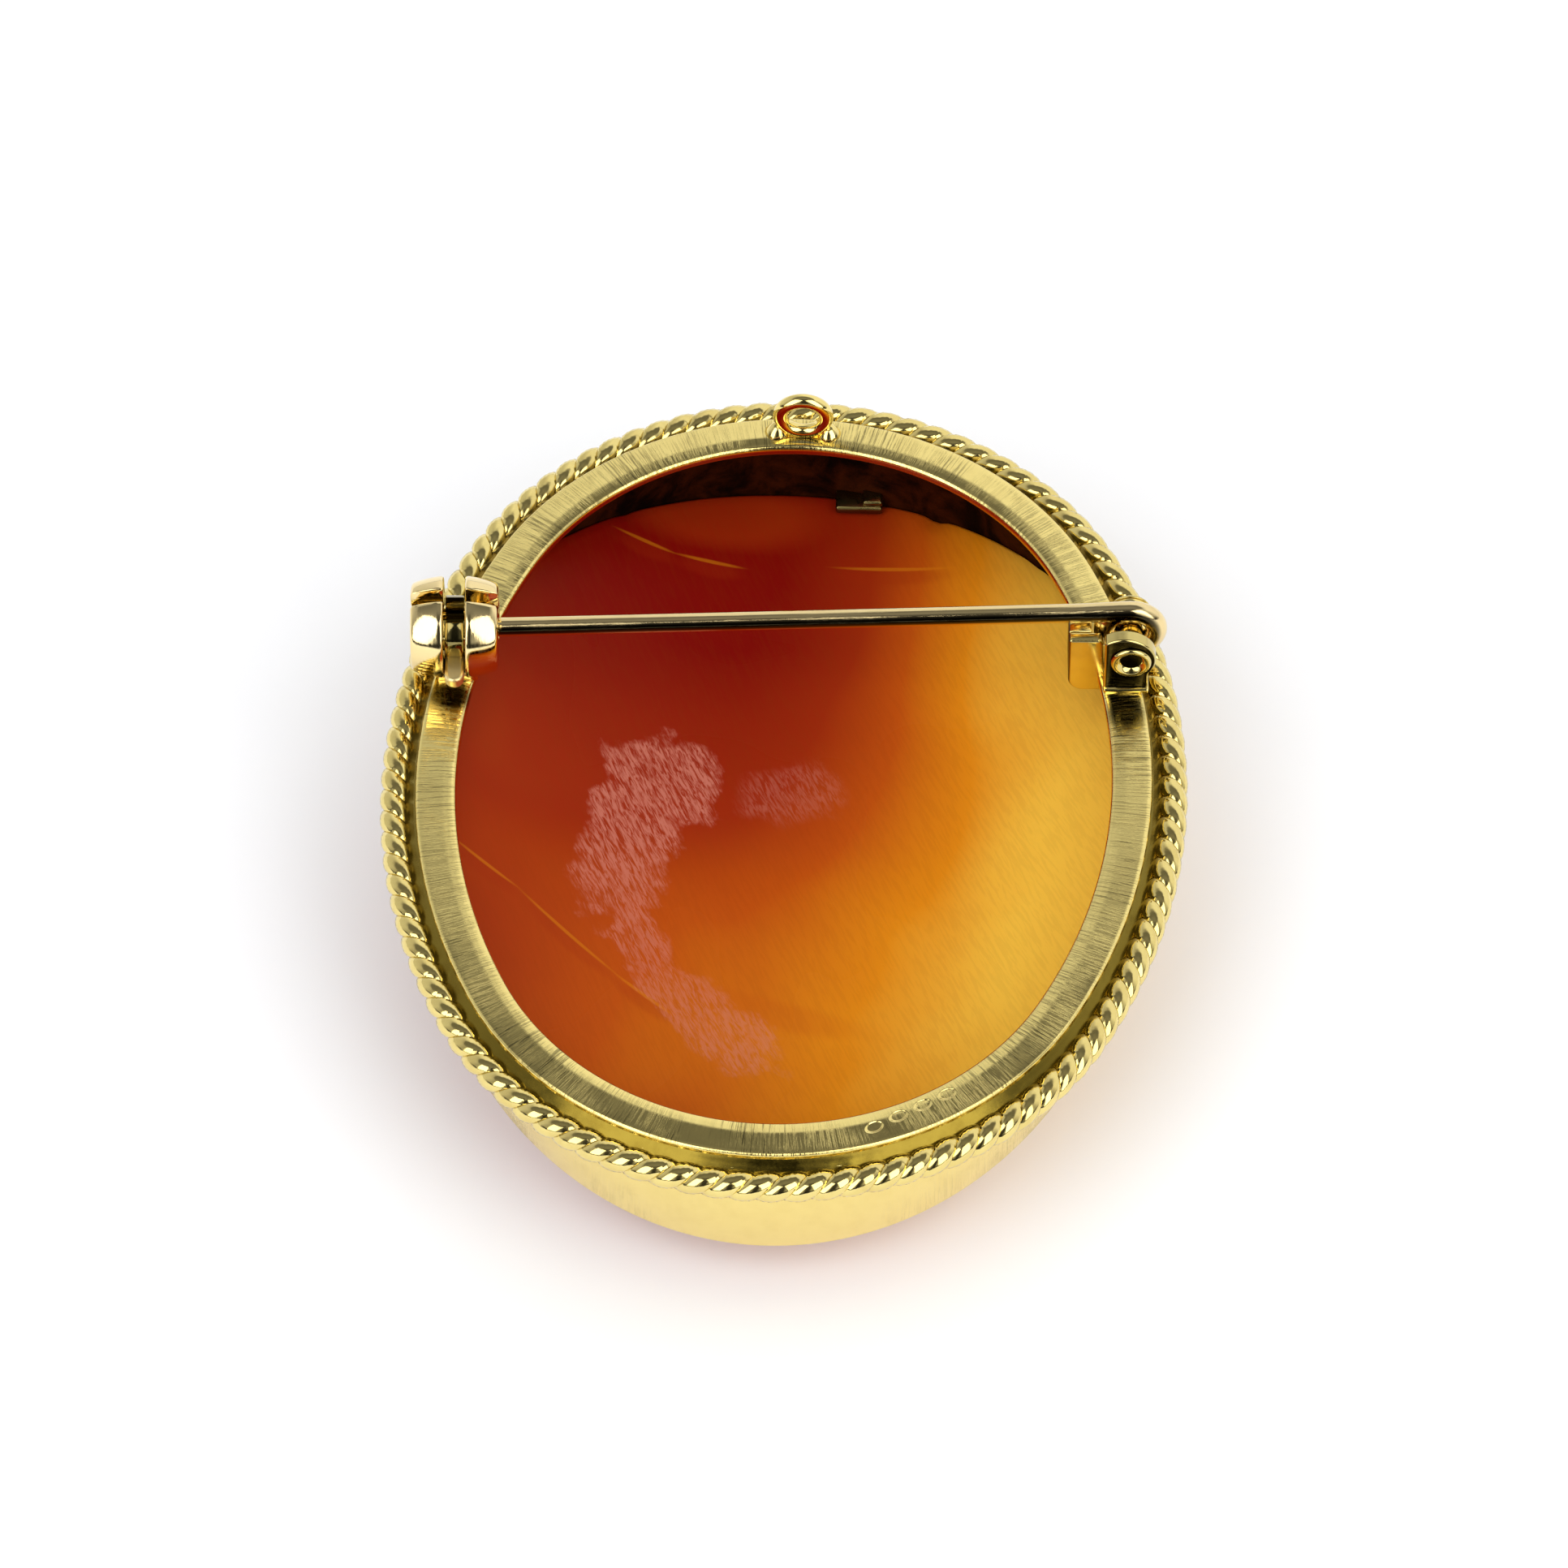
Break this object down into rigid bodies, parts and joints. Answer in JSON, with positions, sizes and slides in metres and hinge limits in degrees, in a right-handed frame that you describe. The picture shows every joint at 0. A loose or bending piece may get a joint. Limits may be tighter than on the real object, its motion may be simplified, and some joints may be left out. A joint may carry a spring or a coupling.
{
  "type": "cameo brooch",
  "caption": "Oval shell cameo brooch in a gold-coloured bezel with a rope border, a hinged pin, a roll-over safety catch and a small bail.",
  "frame": {"origin": "centre of the oval in plan, on the surface that the carved front rests on", "axes": "+X along the pin from the catch to the hinge, +Y up the brooch towards the bail, +Z from the carved front to the pin"},
  "size_m": [0.0404, 0.0506, 0.0158],
  "materials": {
    "gold": "polished yellow gold, low carat, with fine wear scratches",
    "rope_gold": "polished yellow gold, tops of the strands worn smooth",
    "pin_gold": "drawn yellow gold wire, bright",
    "shell": "polished helmet shell, red brown to amber, slightly translucent"
  },
  "bodies": {
    "brooch": {"setting": "gold", "rope_border": "rope_gold", "shell_cameo": "shell", "hinge_rivet": "gold"},
    "pin": {"pin": "pin_gold"},
    "catch_lever": {"catch_lever": "gold"}
  },
  "joints": [
    {"name": "pin_hinge", "type": "hinge", "parent": "brooch", "child": "pin", "pos_m": [0.01739, 0.0077, 0.01332], "axis": [0, 1, 0], "range_deg": [0, 100]},
    {"name": "lever_turn", "type": "hinge", "parent": "brooch", "child": "catch_lever", "pos_m": [-0.01652, 0.0077, 0.01332], "axis": [-1, 0, 0], "range_deg": [0, 110]}
  ]
}
